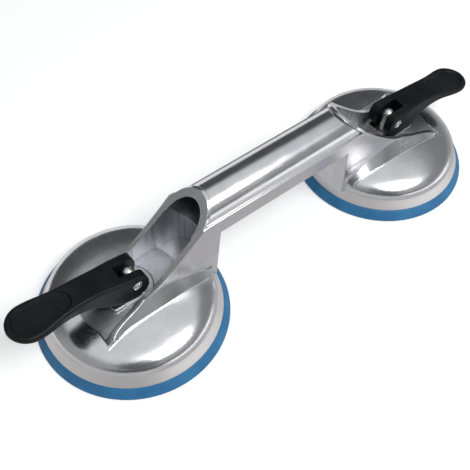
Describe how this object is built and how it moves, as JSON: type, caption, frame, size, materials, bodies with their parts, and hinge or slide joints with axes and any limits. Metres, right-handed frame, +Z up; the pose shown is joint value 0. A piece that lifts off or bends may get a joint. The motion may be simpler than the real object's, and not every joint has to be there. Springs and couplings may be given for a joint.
{
  "type": "vacuum suction lifter",
  "caption": "Hand vacuum lifter: cast handle with a rubber suction cup at each end, each drawn up by a folding cam lever to grip smooth panels.",
  "frame": {"origin": "on the plane of the two suction lips, midway between the two cup axes, which is the bottom centre of the bounding box to within 0.5 mm because the two levers rest at different angles", "axes": "+X along the grip towards the right cup, +Z up away from the work surface, +Y across"},
  "size_m": [0.3609, 0.12, 0.0755],
  "materials": {
    "cast_aluminium": "polished die casting",
    "pad_rubber": "matte moulded rubber",
    "lever_plastic": "satin moulded",
    "bright_steel": "bright plated steel",
    "plated_steel": "zinc plated",
    "spring_steel": "drawn wire"
  },
  "bodies": {
    "frame": {"frame_casting": "cast_aluminium", "left_rubber_pad": "pad_rubber", "left_guide_bush": "plated_steel", "left_wear_plate": "bright_steel", "left_return_spring": "spring_steel", "right_rubber_pad": "pad_rubber", "right_guide_bush": "plated_steel", "right_wear_plate": "bright_steel", "right_return_spring": "spring_steel"},
    "left_stud": {"left_draw_stud": "bright_steel", "left_pad_insert": "plated_steel", "left_stud_nut": "plated_steel", "left_spring_washer": "plated_steel"},
    "left_lever": {"left_lever": "lever_plastic", "left_pivot_pin": "bright_steel", "left_pin_washers": "bright_steel"},
    "right_stud": {"right_draw_stud": "bright_steel", "right_pad_insert": "plated_steel", "right_stud_nut": "plated_steel", "right_spring_washer": "plated_steel"},
    "right_lever": {"right_lever": "lever_plastic", "right_pivot_pin": "bright_steel", "right_pin_washers": "bright_steel"}
  },
  "joints": [
    {"name": "left_stud_slide", "type": "slide", "parent": "frame", "child": "left_stud", "axis": [0, 0, 1], "range_m": [-0.00344, 0.00049], "deforming": ["left_return_spring"]},
    {"name": "left_lever_hinge", "type": "hinge", "parent": "left_stud", "child": "left_lever", "pos_m": [-0.1055, 0, 0.04003], "axis": [0, 1, 0], "range_deg": [-12.2, 87.8]},
    {"name": "right_stud_slide", "type": "slide", "parent": "frame", "child": "right_stud", "axis": [0, 0, 1], "range_m": [-0.00391, 0.00002], "deforming": ["right_return_spring"]},
    {"name": "right_lever_hinge", "type": "hinge", "parent": "right_stud", "child": "right_lever", "pos_m": [0.1055, 0, 0.0405], "axis": [0, -1, 0], "range_deg": [0, 100]}
  ],
  "couplings": [
    {"joint": "left_stud_slide", "follows": "left_lever_hinge", "m_per_rad": -0.00223},
    {"joint": "right_stud_slide", "follows": "right_lever_hinge", "m_per_rad": -0.00223}
  ]
}
